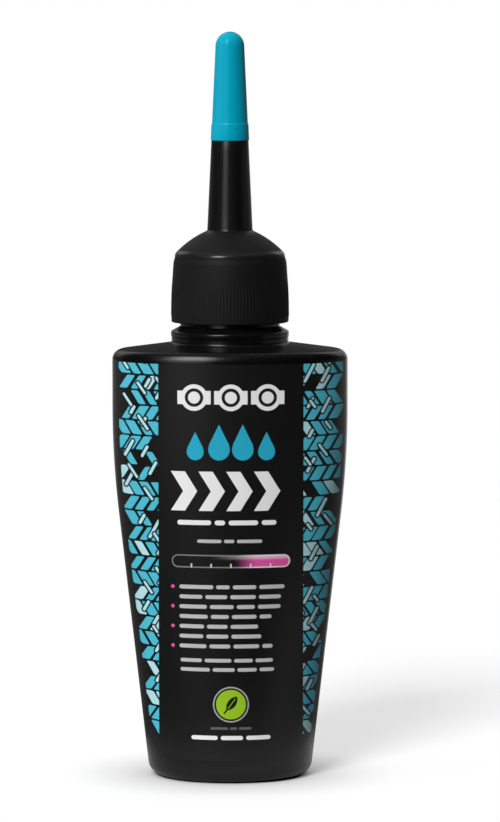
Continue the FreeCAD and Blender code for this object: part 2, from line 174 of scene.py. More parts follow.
class Flow:
    # A socket of a node tree; sums and products of flows add Math nodes.
    def __init__(self, tree, socket=None):
        self.tree = tree
        self.socket = socket

    def add(self, kind, settings=None, inputs=None, output=0):
        made = self.tree.nodes.new(kind)
        for name, value in (settings or {}).items():
            setattr(made, name, value)
        for name, value in (inputs or {}).items():
            if isinstance(value, Flow):
                self.tree.links.new(value.socket, made.inputs[name])
            else:
                made.inputs[name].default_value = value
        return Flow(self.tree, made.outputs[output] if made.outputs else None)

    def math(self, operation, *values):
        return self.add("ShaderNodeMath", {"operation": operation}, dict(enumerate(values)))

    def __add__(self, other):
        return self.math("ADD", self, other)

    def __sub__(self, other):
        return self.math("SUBTRACT", self, other)

    def __rsub__(self, other):
        return self.math("SUBTRACT", other, self)

    def __mul__(self, other):
        return self.math("MULTIPLY", self, other)

    def __truediv__(self, other):
        return self.math("DIVIDE", self, other)

    def __mod__(self, other):
        return self.math("FLOORED_MODULO", self, other)

    def __gt__(self, other):
        return self.math("GREATER_THAN", self, other)

    def __lt__(self, other):
        return self.math("LESS_THAN", self, other)

    def __abs__(self):
        return self.math("ABSOLUTE", self)

    __radd__ = __add__
    __rmul__ = __mul__

    def floor(self):
        return self.math("FLOOR", self)

    def most(self, other):
        return self.math("MAXIMUM", self, other)

    def least(self, other):
        return self.math("MINIMUM", self, other)

    def clamp(self):
        return self.add("ShaderNodeClamp", inputs={"Value": self})

    def length(self, other):
        return self.math("SQRT", self * self + other * other)

    def ramp(self, low, high):
        # 0 at low and 1 at high, with a smooth run between them.
        return self.add("ShaderNodeMapRange", {"interpolation_type": "SMOOTHSTEP"},
                        {"Value": self, "From Min": low, "From Max": high})

    def near(self, middle, inner, outer):
        # 1 within inner of the middle, and 0 past outer.
        return 1 - abs(self - middle).ramp(inner, outer)

    def drift(self, span):
        # A noise of 0 to 1, spread about zero.
        return (self - 0.5) * span

    def mix(self, first, second):
        # A colour: first where this flow is 0, second where it is 1.
        return self.add("ShaderNodeMix", {"data_type": "RGBA"}, {0: self, 6: first, 7: second}, 2)


def startFinish(name):
    finish = bpy.data.materials.new(name)
    finish.use_nodes = True
    finish.node_tree.nodes.clear()
    return finish, Flow(finish.node_tree).add("ShaderNodeTexCoord", output="Object")


def endFinish(finish, sockets):
    shader = Flow(finish.node_tree).add("ShaderNodeBsdfPrincipled", inputs=sockets)
    shader.add("ShaderNodeOutputMaterial", inputs={"Surface": shader})
    return finish


def axes(coords, names):
    # Coordinates, in metres.
    return [coords.add("ShaderNodeSeparateXYZ", inputs={0: coords}, output=name) for name in names]


def axisOf(coords, name):
    # One coordinate, in millimetres.
    return axes(coords, name)[0] * perMetre


def rayKinds(root):
    return [root.add("ShaderNodeLightPath", output=name)
            for name in ("Is Camera Ray", "Is Glossy Ray", "Is Transmission Ray")]


def grain(coords, size, detail=3.0, stretch=(1, 1, 1)):
    # Noise from 0 to 1 whose features are about size millimetres across.
    scaled = coords.add("ShaderNodeVectorMath", {"operation": "MULTIPLY"}, {0: coords, 1: stretch})
    return coords.add("ShaderNodeTexNoise",
                      inputs={"Vector": scaled, "Scale": perMetre / size, "Detail": detail})


def bumped(height, depth):
    # A normal from a height flow of 0 to 1, depth in millimetres.
    return height.add("ShaderNodeBump", inputs={"Distance": depth * mm, "Height": height})


def grey(level):
    return (level, level, level, 1)


def clouded(cloud, black):
    # A black that is a little darker and lighter by turns.
    return cloud.mix(*[grey(black * tone) for tone in (0.85, 1.2)])


# Finishes

bottleLook = {"black": 0.003, "cloud": 9.0, "satin": 0.22, "satinSpan": 0.08, "peel": 0.55,
              "peelSpan": 0.06, "peelDepth": 0.005}


def bottleBlack():
    finish, coords = startFinish("bottle_black")
    cloud = grain(coords, bottleLook["cloud"])
    peel = grain(coords, bottleLook["peel"], detail=2.0)
    uneven = cloud.drift(bottleLook["satinSpan"])
    return endFinish(finish, {
        "Base Color": clouded(cloud, bottleLook["black"]),
        "Roughness": bottleLook["satin"] + uneven + peel.drift(bottleLook["peelSpan"]),
        "Normal": bumped(peel, bottleLook["peelDepth"]),
    })


capLook = {"black": 0.0075, "cloud": 6.0, "matt": 0.55, "mattSpan": 0.1, "shine": 0.22, "sleek": 0.19,
           "grain": 0.16, "grainDepth": 0.005, "spout": (97.2, 98.4), "spoutShare": 0.35,
           "edge": 93.95, "edgeHalf": (0.25, 0.7)}


def capBlack():
    # Grained on the skirt and roof, polished on the spout and the roof's edge.
    finish, coords = startFinish("cap_black")
    height = axisOf(coords, "Z")
    spout = height.ramp(*capLook["spout"])
    polish = spout.most(height.near(capLook["edge"], *capLook["edgeHalf"]))
    spark = grain(coords, capLook["grain"], detail=2.0)
    cloud = grain(coords, capLook["cloud"])
    black = capLook["black"]
    return endFinish(finish, {
        "Base Color": spout.mix(clouded(cloud, black), grey(black * capLook["spoutShare"])),
        "Roughness": capLook["matt"] + cloud.drift(capLook["mattSpan"]),
        "Specular IOR Level": capLook["shine"],
        "Coat Weight": polish,
        "Coat Roughness": capLook["sleek"],
        "Normal": bumped(spark * (1 - polish), capLook["grainDepth"]),
    })


tipLook = {"cyan": (0.002, 0.37, 0.53, 1), "deep": (0.0015, 0.345, 0.5, 1), "cloud": 3.0,
           "stretch": (1, 1, 0.3), "gloss": 0.21, "glossSpan": 0.08, "shine": 0.18, "fine": 0.3,
           "fineDepth": 0.003}


def tipCyan():
    finish, coords = startFinish("tip_cyan")
    cloud = grain(coords, tipLook["cloud"], 2.0, tipLook["stretch"])
    fine = grain(coords, tipLook["fine"], detail=2.0)
    return endFinish(finish, {
        "Base Color": cloud.mix(tipLook["deep"], tipLook["cyan"]),
        "Roughness": tipLook["gloss"] + cloud.drift(tipLook["glossSpan"]),
        "Specular IOR Level": tipLook["shine"],
        "Normal": bumped(fine, tipLook["fineDepth"]),
    })


sealLook = {"white": grey(0.8), "pore": grey(0.68), "cellsPerMetre": 6000.0, "matt": 0.75, "mattSpan": 0.1,
            "poreDepth": 0.02}


def sealFoam():
    finish, coords = startFinish("seal_white")
    cells = coords.add("ShaderNodeTexVoronoi", inputs={"Vector": coords, "Scale": sealLook["cellsPerMetre"]})
    return endFinish(finish, {
        "Base Color": cells.mix(sealLook["white"], sealLook["pore"]),
        "Roughness": sealLook["matt"] + cells * sealLook["mattSpan"],
        "Normal": bumped(cells, sealLook["poreDepth"]),
    })


oilLook = {"deep": (0.5, 0.36, 0.1, 1), "clear": (0.6, 0.46, 0.18, 1), "cloud": 12.0, "gloss": 0.06,
           "glossSpan": 0.04}


def lubeOil():
    finish, coords = startFinish("lubricant_oil")
    cloud = grain(coords, oilLook["cloud"])
    return endFinish(finish, {
        "Base Color": cloud.mix(oilLook["deep"], oilLook["clear"]),
        "Roughness": oilLook["gloss"] + cloud * oilLook["glossSpan"],
    })


# Label print: x is across from the print's middle and z up from the base, in millimetres.
# Each motif gives masks with the names of their paints, in the order they are laid.

printLook = {
    "ground": grey(0.0075), "white": grey(0.86), "pale": grey(0.52), "dim": grey(0.12), "ring": grey(0.4),
    "blue": (0.025, 0.4, 0.58, 1), "bandBlue": (0.075, 0.49, 0.63, 1), "iceBlue": (0.45, 0.73, 0.79, 1),
    "pink": (0.72, 0.09, 0.36, 1), "green": (0.3, 0.55, 0.02, 1),
    "edge": 0.05, "centre": 0.2, "satin": 0.31, "satinSpan": 0.08, "cloud": 7.0, "fine": 0.35,
    "fineDepth": 0.004,
}
# Factors and offsets of the print's random draws
draw = {"first": 12.99, "second": 78.23, "size": 9.1, "pick": 3.7, "end": 2.3}


def inside(distance):
    # 1 where a distance, in millimetres, is below zero.
    return (0.5 - distance / printLook["edge"]).clamp()


def roundBox(x, z, halfWidth, halfHeight, radius):
    across = (abs(x) - (halfWidth - radius)).most(0.0)
    upright = (abs(z) - (halfHeight - radius)).most(0.0)
    return across.length(upright) - radius


def randomAt(seed, first, second=0.5):
    place = first * draw["first"] + second * draw["second"] + seed
    return first.add("ShaderNodeTexWhiteNoise", {"noise_dimensions": "1D"}, {"W": place})


bandLook = {"inner": 12.85, "knee": 57.0, "low": 13.0, "high": 19.7, "bend": 0.3, "firstRow": 3}
treadLook = {"row": 2.7, "block": 2.05, "lean": 0.62, "half": 0.62, "wider": 0.32, "tall": 0.44,
             "corner": 0.25, "overhang": 0.35, "trim": 0.3, "bare": 0.07, "pale": 0.78, "seed": 1.0}
dashLook = {"slides": 4.0, "short": 0.1, "longer": 0.2, "lost": 0.35, "inset": 0.7, "halo": 0.26,
            # lean, pitch, run, thick, seed
            "sets": ((0.5, 2.7, 5.6, 0.26, 5.0), (-0.62, 3.3, 4.8, 0.22, 17.0))}


def bandEdge(z):
    # How far from the middle the side bands reach at a height: they follow the bottle's outline.
    low, high = bandLook["low"], bandLook["high"]
    return low + (high - low) * z.math("SMOOTH_MIN", z / bandLook["knee"], 1.0, bandLook["bend"])


def tread(x, z, seed):
    # Rows of leaning blocks, like a tyre's tread: a mask, and a random number for each block.
    pitch, tall = treadLook["block"], treadLook["row"]
    row = (z / tall).floor()
    rowZ = z - (row + 0.5) * tall
    lean = (row % 2.0 * 2.0 - 1.0) * treadLook["lean"]
    slide = randomAt(seed, row) * pitch
    slid = x + lean * rowZ + slide
    cell = (slid / pitch).floor()
    centre = (cell + 0.5) * pitch
    wide = randomAt(seed + draw["size"], row, cell)
    half = treadLook["half"] + treadLook["wider"] * wide
    block = roundBox(slid - centre, rowZ, half, tall * treadLook["tall"], treadLook["corner"])
    aside = abs(centre - slide)
    reach = bandEdge((row + 0.5) * tall) + treadLook["overhang"]
    kept = (aside < reach) * (row > bandLook["firstRow"] - 0.5)
    mask = inside(block.most(abs(x) - bandEdge(z) - treadLook["trim"])) * kept
    return mask, randomAt(seed + draw["pick"], row, cell)


def dashes(x, z, lean, pitch, run, thick, seed):
    # Rows of slanted, round-ended dashes of uneven length: a distance, and a mask of those that are kept.
    along = x * math.sin(lean) + z * math.cos(lean)
    across = x * math.cos(lean) - z * math.sin(lean)
    row = (across / pitch).floor()
    shifted = along + randomAt(seed, row) * run * dashLook["slides"]
    cell = (shifted / run).floor()
    size = randomAt(seed + draw["size"], row, cell)
    fromMiddle = across - (row + 0.5) * pitch
    fromCell = shifted - (cell + 0.5) * run
    reach = (abs(fromCell) - run * (dashLook["short"] + dashLook["longer"] * size)).most(0.0)
    middleAlong, middleAcross = along - fromCell, across - fromMiddle
    middleX = middleAlong * math.sin(lean) + middleAcross * math.cos(lean)
    middleZ = middleAlong * math.cos(lean) - middleAcross * math.sin(lean)
    lowest = (bandLook["firstRow"] + 0.5) * treadLook["row"]
    kept = randomAt(seed + draw["pick"], row, cell) > dashLook["lost"]
    kept = kept * (abs(middleX) < bandEdge(middleZ) - dashLook["inset"])
    return reach.length(fromMiddle) - thick, kept * (middleZ > lowest)


def sideBands(x, z):
    band = inside(bandLook["inner"] - abs(x))
    block, pick = tread(x, z, treadLook["seed"])
    yield block * band * (pick > treadLook["bare"]), "bandBlue"
    yield block * band * (pick > treadLook["pale"]), "iceBlue"
    for dashSet in dashLook["sets"]:
        far, kept = dashes(x, z, *dashSet)
        yield inside(far - dashLook["halo"]) * band * kept, "ground"
        yield inside(far) * band * kept, "iceBlue"


linkLook = {"height": 69.1, "pitch": 6.5, "reach": 9.6, "eye": 2.35, "plate": 1.2, "gap": 0.3, "pin": 1.35,
            "pinLine": 0.28}


def chainLinks(x, z):
    pitch = linkLook["pitch"]
    linkX = (x + pitch / 2) % pitch - pitch / 2
    linkZ = z - linkLook["height"]
    strip = inside(abs(x) - linkLook["reach"])
    pin = linkX.length(linkZ)
    plate = inside(pin - linkLook["eye"]).most(inside(abs(linkZ) - linkLook["plate"])) * strip
    gap = inside(abs(abs(linkX) - pitch / 2) - linkLook["gap"])
    yield plate * (1 - gap) * (1 - inside(abs(pin - linkLook["pin"]) - linkLook["pinLine"])), "white"


dropLook = {"places": ((-6.3, 1.5), (-2.1, 1.9), (2.1, 1.9), (6.3, 1.5)), "foot": 58.0, "point": 2.35,
            "slope": 0.49, "join": 0.42}


def drops(x, z):
    for place, size in dropLook["places"]:
        dropX, dropZ = x - place, z - (dropLook["foot"] + size)
        disc = inside(dropX.length(dropZ) - size)
        side = abs(dropX) - (size * dropLook["point"] - dropZ) * dropLook["slope"]
        yield disc.most(inside(side.most(dropLook["join"] * size - dropZ))), "blue"


chevronLook = {"places": (-7.2, -2.3, 2.6, 7.5), "height": 52.5, "lean": 0.62, "half": 1.25, "reach": 3.5}


def chevrons(x, z):
    chevronZ = z - chevronLook["height"]
    for place in chevronLook["places"]:
        lean = x - place + abs(chevronZ) * chevronLook["lean"]
        yield inside((abs(lean) - chevronLook["half"]).most(abs(chevronZ) - chevronLook["reach"])), "white"


wordLook = {"pitch": 2.5, "jitter": 0.5, "gap": 0.75, "short": 2.6}
wordBlocks = (
    # paint, left, right, top, lines, pitch, tall, ragged, seed
    ("white", -9.8, 9.8, 47.8, 1, 1.8, 0.85, 0.0, 4.0),
    ("pale", -6.2, 6.2, 44.3, 1, 1.4, 0.6, 0.0, 11.0),
    ("pale", -9.4, 10.4, 36.3, 7, 1.765, 0.7, 5.0, 23.0),
    ("pale", -9.2, 9.0, 23.1, 2, 1.65, 0.65, 1.5, 37.0),
    ("dim", -3.8, 3.8, 10.6, 1, 1.0, 0.45, 0.0, 41.0),
    ("white", -7.3, 7.3, 9.3, 1, 1.8, 0.75, 0.0, 53.0),
)


def smallPrint(x, z, left, right, top, lines, pitch, tall, ragged, seed):
    # Lines of print with no letters in them: bars as long as words.
    line = ((top - z) / pitch).floor()
    level = top - (line + 0.5) * pitch
    wordPitch, gap = pitch * wordLook["pitch"], tall * wordLook["gap"]

    def breakAt(word):
        return left + (word + wordLook["jitter"] * randomAt(seed, word, line) * (word > 0.5)) * wordPitch

    near = ((x - left) / wordPitch).floor()
    word = (near - (x < breakAt(near))).most(0.0)
    last = right - ragged * randomAt(seed + draw["end"], line)
    begin, end = breakAt(word), breakAt(word + 1.0).least(last)
    bar = roundBox(x - (begin + end) / 2, z - level, (end - begin - gap) / 2, tall / 2, tall / 2)
    field = inside(abs(z - top + lines * pitch / 2) - lines * pitch / 2)
    return inside(bar) * field * (end - begin > tall * wordLook["short"])


def wording(x, z):
    for paint, *block in wordBlocks:
        yield smallPrint(x, z, *block), paint


bulletLook = {"first": 35.4, "pitch": 3.53, "aside": 10.3, "radius": 0.32, "middle": 30.1, "reach": 6.0}


def bullets(x, z):
    pitch = bulletLook["pitch"]
    listZ = (z - bulletLook["first"]) % pitch
    bullet = (x + bulletLook["aside"]).length(listZ.least(pitch - listZ))
    field = abs(z - bulletLook["middle"]) - bulletLook["reach"]
    yield inside(bullet - bulletLook["radius"]) * inside(field), "pink"


gaugeLook = {
    "height": 40.0, "half": (10.5, 1.17), "corner": 1.15, "fill": (0.5, 5.0), "inset": 0.2,
    "gloss": (0.1, 0.8), "glossLevel": 0.5, "glossRun": (-4.0, 6.0), "line": 0.12, "lineLevel": (0.22, 0.6),
    "tickPitch": 3.5, "tickHalf": 0.14, "tickDrop": 0.75, "tickReach": 0.35, "tickSpan": 8.0,
    "tickLevel": 0.7,
}


def gauge(x, z):
    look = gaugeLook
    gaugeZ = z - look["height"]
    tube = roundBox(x, gaugeZ, *look["half"], look["corner"])
    fill = x.ramp(*look["fill"])
    shine = gaugeZ.ramp(*look["gloss"]) * look["glossLevel"]
    yield inside(tube + look["inset"]) * fill, "pink"
    yield inside(tube + look["inset"]) * x.ramp(*look["glossRun"]) * shine, "white"
    line, (faint, stronger) = look["line"], look["lineLevel"]
    yield inside(abs(tube + line) - line) * (faint + stronger * fill), "white"
    pitch = look["tickPitch"]
    tick = abs((x + pitch / 2) % pitch - pitch / 2) - look["tickHalf"]
    tick = inside(tick.most(abs(gaugeZ + look["tickDrop"]) - look["tickReach"]))
    yield tick * inside(abs(x) - look["tickSpan"]) * look["tickLevel"], "white"


leafLook = {"height": 14.4, "discs": ((3.2, "ring"), (2.95, "ground"), (2.65, "green")), "lean": (0.8, 0.6),
            "blade": (1.25, 0.25, 2.0), "stalk": (0.14, -1.2, 0.9), "vein": (0.07, 0.2, 1.1)}


def roundel(x, z):
    # A leaf in a disc.
    leafZ = z - leafLook["height"]
    fromCentre = x.length(leafZ)
    for radius, paint in leafLook["discs"]:
        yield inside(fromCentre - radius), paint
    upright, aslant = leafLook["lean"]
    across, along = x * upright - leafZ * aslant, x * aslant + leafZ * upright

    def stroke(half, middle, reach):
        return inside((abs(across) - half).most(abs(along - middle) - reach))

    aside, lift, radius = leafLook["blade"]
    right, left = [inside((across - place).length(along - lift) - radius) for place in (aside, -aside)]
    blade = right * left
    stalk, vein = stroke(*leafLook["stalk"]), stroke(*leafLook["vein"])
    yield blade.most(stalk), "ground"
    yield vein, "green"


def labelPrint():
    finish, coords = startFinish("label_print")
    x = axisOf(coords, "X") - printLook["centre"]
    z = axisOf(coords, "Z")
    colour = coords.add("ShaderNodeRGB")
    colour.socket.default_value = printLook["ground"]
    for motif in (sideBands, chainLinks, drops, chevrons, wording, bullets, gauge, roundel):
        for mask, paint in motif(x, z):
            colour = mask.mix(colour, printLook[paint])
    cloud = grain(coords, printLook["cloud"])
    fine = grain(coords, printLook["fine"], detail=2.0)
    return endFinish(finish, {
        "Base Color": colour,
        "Roughness": printLook["satin"] + cloud.drift(printLook["satinSpan"]),
        "Normal": bumped(fine, printLook["fineDepth"]),
    })


finishes = {
    "bottle_black": bottleBlack(),
    "label_print": labelPrint(),
    "cap_black": capBlack(),
    "tip_cyan": tipCyan(),
    "seal_white": sealFoam(),
    "lubricant_oil": lubeOil(),
}
print("finishes made")


# Blown bottle: an oval body that tapers to its base, a low shoulder, and a round neck

bottle = {
    "baseWidth": 29.0, "baseDepth": 26.0, "endTurn": 65, "kneeHeight": 57.0, "kneeBlend": 9.5,
    "shoulderHeight": 76.55, "shoulderRise": 1.35, "shoulderRound": 1.9, "footRound": 0.45,
    "kneeLead": 0.9, "edgeLead": 4, "beadLead": 0.3, "boreLead": 4,
    "baseRound": 2.2, "ringInset": 4.2, "ringLead": 0.1, "pushUp": 1.0, "roofLead": 0.8,
    "wall": 1.0, "floor": 2.2, "collar": 10.475, "bead": 10.575, "beadFoot": 79.05, "beadTop": 79.95,
    "beadSlope": 0.95, "land": 8.9, "landHeight": 1.5, "landSlope": 0.6, "neck": 7.95, "bore": 6.2,
    "seamDepth": 0.05, "seamHalf": 0.16, "seamFine": (0.35, 0.7, 1.1, 1.6), "seamTurns": (9, 17),
    "pinchHeight": 0.28, "pinchHalf": 0.3, "pinchReach": 8.2, "pinchFade": 0.8,
    "endSteps": 56, "faceSteps": 48, "baseSteps": 12, "taperSteps": 24, "kneeSteps": 18, "uprightSteps": 6,
    "neckLongest": 2.5, "roofShares": (0.012, 0.025, 0.04, 0.06, 0.09, 0.13, 0.19, 0.27, 0.36, 0.46, 0.56,
                                       0.66, 0.76, 0.85, 0.91),
}
turnLimit = math.radians(bottle["endTurn"])


def bodyHalves(height):
    # Half the width and half the depth at a height: a straight taper, a bend at the knee, upright sides.
    knee, blend = bottle["kneeHeight"], bottle["kneeBlend"]
    if height <= knee - blend:
        share = height / knee
    elif height >= knee + blend:
        share = 1
    else:
        share = 1 - (knee + blend - height) ** 2 / (4 * blend * knee)
    return ((bottle["baseWidth"] + (bodyWidth - bottle["baseWidth"]) * share) / 2,
            (bottle["baseDepth"] + (bodyDepth - bottle["baseDepth"]) * share) / 2)


def ovalArcs(halfWidth, halfDepth):
    # Radius of the round ends, their centre's distance from the axis, and the radius of the faces.
    spread = (halfWidth - halfDepth) / (math.cos(turnLimit) + math.sin(turnLimit) - 1)
    end = halfWidth - spread * math.cos(turnLimit)
    return end, halfWidth - end, end + spread


def ovalPoint(halfWidth, halfDepth, angle):
    # The point of the oval whose outward normal has that angle.
    end, reach, face = ovalArcs(halfWidth, halfDepth)
    across, back = math.cos(angle), math.sin(angle)
    if abs(across) >= math.cos(turnLimit):
        return math.copysign(reach, across) + end * across, end * back
    return face * across, face * back - math.copysign(face - halfDepth, back)


def bottleColumns():
    # Angles round the bottle, evenly along its arcs, with more of them beside the parting line.
    angles = []
    fine = [math.radians(degrees) for degrees in bottle["seamFine"]]
    for middle in (0, math.pi):
        ends = evenly(-turnLimit, turnLimit, bottle["endSteps"])[:-1] + fine + [-angle for angle in fine]
        faces = evenly(turnLimit, math.pi - turnLimit, bottle["faceSteps"])[:-1]
        angles += [middle + angle for angle in sorted(ends) + faces]
    return angles


columns = bottleColumns()


def ovalRing(halfWidth, halfDepth, height):
    return [(*ovalPoint(halfWidth, halfDepth, angle), height) for angle in columns]


def seamed(ring, sideways, down):
    # The parting line of the mould, a fine groove where the ring crosses y = 0.
    result = []
    for x, y, z in ring:
        depth = bottle["seamDepth"] * math.exp(-(y / bottle["seamHalf"]) ** 2)
        result.append((x - math.copysign(depth * sideways, x), y, z - depth * down))
    return result


def pinched(ring):
    # The pinch-off weld, a low ridge along the middle of the base.
    result = []
    for x, y, z in ring:
        fade = max(0, min(1, (bottle["pinchReach"] - abs(x)) / bottle["pinchFade"]))
        ridge = bottle["pinchHeight"] * fade * math.exp(-(y / bottle["pinchHalf"]) ** 4)
        result.append((x, y, z - ridge))
    return result


def baseRings():
    halfWidth, halfDepth = bottle["baseWidth"] / 2, bottle["baseDepth"] / 2
    inset, pushUp, rounding = bottle["ringInset"], bottle["pushUp"], bottle["baseRound"]
    roofInset = inset + pushUp
    roofWidth, roofDepth = halfWidth - inset - pushUp, halfDepth - inset - pushUp
    rings = [[(0, 0, pushUp - bottle["pinchHeight"])]]
    rings += [pinched(ovalRing(roofWidth * share, roofDepth * share, pushUp))
              for share in bottle["roofShares"]]
    wallPath = roundedPath([(roofInset + bottle["roofLead"], pushUp), (roofInset, pushUp, 0.5, 5),
                            (inset, 0, 0.4, 5), (rounding + bottle["ringLead"], 0)])
    rings += [ovalRing(halfWidth - depth, halfDepth - depth, height) for depth, height in wallPath[1:]]
    for lift in evenly(0, quarterTurn, bottle["baseSteps"]):
        height = rounding * (1 - math.cos(lift))
        depth = rounding * (1 - math.sin(lift))
        width, thick = bodyHalves(height)
        rings.append(seamed(ovalRing(width - depth, thick - depth, height), math.sin(lift), 0))
    return rings


def sideRings():
    bendFoot, bendTop = [bottle["kneeHeight"] + side * bottle["kneeBlend"] for side in (-1, 1)]
    heights = evenly(bottle["baseRound"], bendFoot, bottle["taperSteps"])[1:]
    heights += evenly(bendFoot, bendTop, bottle["kneeSteps"])[1:]
    return [seamed(ovalRing(*bodyHalves(height), height), 1, 0) for height in heights]


def shoulderRings():
    # Upright side, rounded edge, low shoulder and the neck's collar, worked out column by column.
    halfWidth, halfDepth = bodyHalves(bottle["shoulderHeight"])
    edge, top = bottle["shoulderHeight"], bottle["shoulderHeight"] + bottle["shoulderRise"]
    start = bottle["kneeHeight"] + bottle["kneeBlend"] + bottle["kneeLead"]
    below = edge - bottle["edgeLead"]
    paths = []
    for angle in columns:
        x, y = ovalPoint(halfWidth, halfDepth, angle)
        footX, footY = polar(bottle["collar"], angle)
        run = math.hypot(footX - x, footY - y)
        path = [Vector((0, height)) for height in evenly(start, below, bottle["uprightSteps"])]
        path += roundedPath([(0, below), (0, edge, bottle["shoulderRound"], 12),
                             (run, top, bottle["footRound"], 8),
                             (run, bottle["beadFoot"] - bottle["beadLead"])])[1:]
        paths.append([(x + (footX - x) * inward / run, y + (footY - y) * inward / run, height)
                      for inward, height in path])
    # Over these rows the parting line's groove turns from the side to the top
    first, last = bottle["seamTurns"]
    rings = []
    for row in range(len(paths[0])):
        flat = max(0.0, min(1.0, (row - first) / (last - first)))
        rings.append(seamed([path[row] for path in paths], 1 - flat, flat))
    return rings


def neckRings():
    landFoot = bottle["beadTop"] + bottle["beadSlope"]
    landTop = landFoot + bottle["landHeight"]
    path = roundedPath([
        (bottle["collar"], bottle["beadFoot"] - bottle["beadLead"]),
        (bottle["collar"], bottle["beadFoot"], 0.04, 2),
        (bottle["bead"], bottle["beadFoot"], 0.05, 3),
        (bottle["bead"], bottle["beadTop"], 0.4, 7),
        (bottle["land"], landFoot, 0.3, 4),
        (bottle["land"], landTop, 0.2, 4),
        (bottle["neck"], landTop + bottle["landSlope"], 0.3, 4),
        (bottle["neck"], neckRim, 0.45, 6),
        (bottle["bore"], neckRim, 0.3, 5),
        (bottle["bore"], neckRim - bottle["boreLead"]),
    ])[1:]
    rings = [ovalRing(radius, radius, height) for radius, height in spaced(path, bottle["neckLongest"])]
    return [seamed(ring, 1 if ring[0][2] < landTop else 0, 0) for ring in rings]


cavity = {
    "lead": 2.2, "rise": 0.9, "bend": 0.7, "corner": 1.2, "boreSteps": 6, "sideSteps": 23,
    "ceilingShares": (0.15, 0.35, 0.6, 0.85), "cornerPath": ((0.16, 0.6), (0.6, 0.16), (1.2, 0)),
    "floorShares": (0.7, 0.4, 0.15),
}


def insideHalves(height):
    return [half - bottle["wall"] for half in bodyHalves(height)]


def cavityRings():
    # From the bore down to the middle of the floor.
    bore, floor = bottle["bore"], bottle["floor"]
    halves = insideHalves(bottle["shoulderHeight"])
    ceiling = bottle["shoulderHeight"] - bottle["wall"]
    boreFoot = neckRim - bottle["boreLead"]
    rings = []
    for height in evenly(boreFoot, ceiling + cavity["lead"], cavity["boreSteps"])[1:]:
        rings.append(ovalRing(bore, bore, height))
    for share in cavity["ceilingShares"]:
        height = ceiling + cavity["rise"] * (1 - share) ** cavity["bend"]
        ring = []
        for angle in columns:
            x, y = ovalPoint(*halves, angle)
            boreX, boreY = polar(bore, angle)
            ring.append((x * share + boreX * (1 - share), y * share + boreY * (1 - share), height))
        rings.append(ring)
    low, high = floor + cavity["corner"], ceiling - cavity["corner"]
    for height in evenly(high, low, cavity["sideSteps"]):
        rings.append(ovalRing(*insideHalves(height), height))
    floorWidth, floorDepth = insideHalves(floor)
    for inward, height in cavity["cornerPath"]:
        rings.append(ovalRing(floorWidth - inward, floorDepth - inward, floor + height))
    for share in cavity["floorShares"]:
        rings.append(ovalRing(floorWidth * share, floorDepth * share, floor))
    return rings + [[(0, 0, floor)]]


bottleRings = baseRings() + sideRings() + shoulderRings() + neckRings() + cavityRings()
bottlePiece = addPiece("bottle_body", skinRings(bottleRings), "bottle", "bottle_black")
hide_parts("bottle")


# Front label: a thin film on the bottle's front

label = {
    "film": 0.11, "sunk": 0.03, "margin": 0.9, "bottom": 4.2, "drop": 1.65, "lowCorner": 5.5,
    "topCorner": 0.8, "across": 120, "lowSteps": 20, "sideSteps": 90, "topSteps": 7,
}
labelTop = bottle["shoulderHeight"] - label["drop"]


def labelHalf(height):
    # Half the label's width at a height, with its corners rounded.
    half = bodyHalves(height)[0] - label["margin"]
    corners = ((label["lowCorner"], height - label["bottom"]), (label["topCorner"], labelTop - height))
    for radius, room in corners:
        if room < radius:
            half -= radius - math.sqrt(max(0, radius ** 2 - (radius - room) ** 2))
    return half


def labelRow(height, outward):
    # Points across the front at one height, evenly along the oval's arcs, moved out by outward.
    halfWidth, halfDepth = bodyHalves(height)
    end, reach, face = ovalArcs(halfWidth, halfDepth)
    bend = quarterTurn - turnLimit
    half = labelHalf(height)
    limit = math.asin(half / face) if half <= face * math.sin(bend) else math.asin((half - reach) / end)
    longest = face * min(limit, bend) + end * max(0, limit - bend)
    row = []
    for along in evenly(-longest, longest, label["across"]):
        lean = abs(along) / face if abs(along) <= face * bend else bend + (abs(along) - face * bend) / end
        angle = -quarterTurn + math.copysign(lean, along)
        x, y = ovalPoint(halfWidth + outward, halfDepth + outward, angle)
        row.append((x, y, height))
    return row


def labelSkin():
    bottom, low, high = label["bottom"], label["lowCorner"], label["topCorner"]
    heights = [bottom + low * (1 - math.cos(lift)) for lift in evenly(0, quarterTurn, label["lowSteps"])]
    heights += evenly(bottom + low, labelTop - high, label["sideSteps"])[1:-1]
    heights += [labelTop - high + high * math.sin(lift)
                for lift in evenly(0, quarterTurn, label["topSteps"])]
    rings = [labelRow(height, label["film"]) + labelRow(height, -label["sunk"])[::-1] for height in heights]
    points, faces = skinRings(rings)
    count = len(rings[0])
    for start in (0, (len(rings) - 1) * count):
        faces += [(start + step, start + step + 1, start + count - 2 - step, start + count - 1 - step)
                  for step in range(count // 2 - 1)]
    return points, faces


labelPiece = addPiece("front_label_film", labelSkin(), "bottle", "label_print")
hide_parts("front_label")


# Spout cap: a ribbed skirt, a domed roof and a hollow spout, one moulding

cap = {
    "inner": 9.15, "skirt": 10.5, "skirtDraft": 0.38, "skirtSwell": 0.11, "skirtStep": 0.25, "stepRise": 0.9,
    "roofBand": 0.6, "roofBase": 2.0, "roofRise": 4.15, "roofRadius": 17.0, "roofWall": 1.5,
    "roofCorner": 0.9, "spoutFoot": 4.075, "spoutTop": 3.33, "spoutFootRound": 0.4, "spoutWall": 1.15,
    "nozzleFoot": 2.68, "nozzleTop": 1.805, "outlet": 0.8, "nozzleWall": 0.9,
    "lipInner": 6.475, "lipOuter": 7.675, "skirtSteps": 26, "domeSteps": 12, "longest": 3.0,
    "ribs": 108, "ribSteps": 6, "ribHeight": 0.065, "ribWidth": 0.46, "ribStart": 0.9, "ribStop": 1.0,
    "ribSink": 0.03,
}


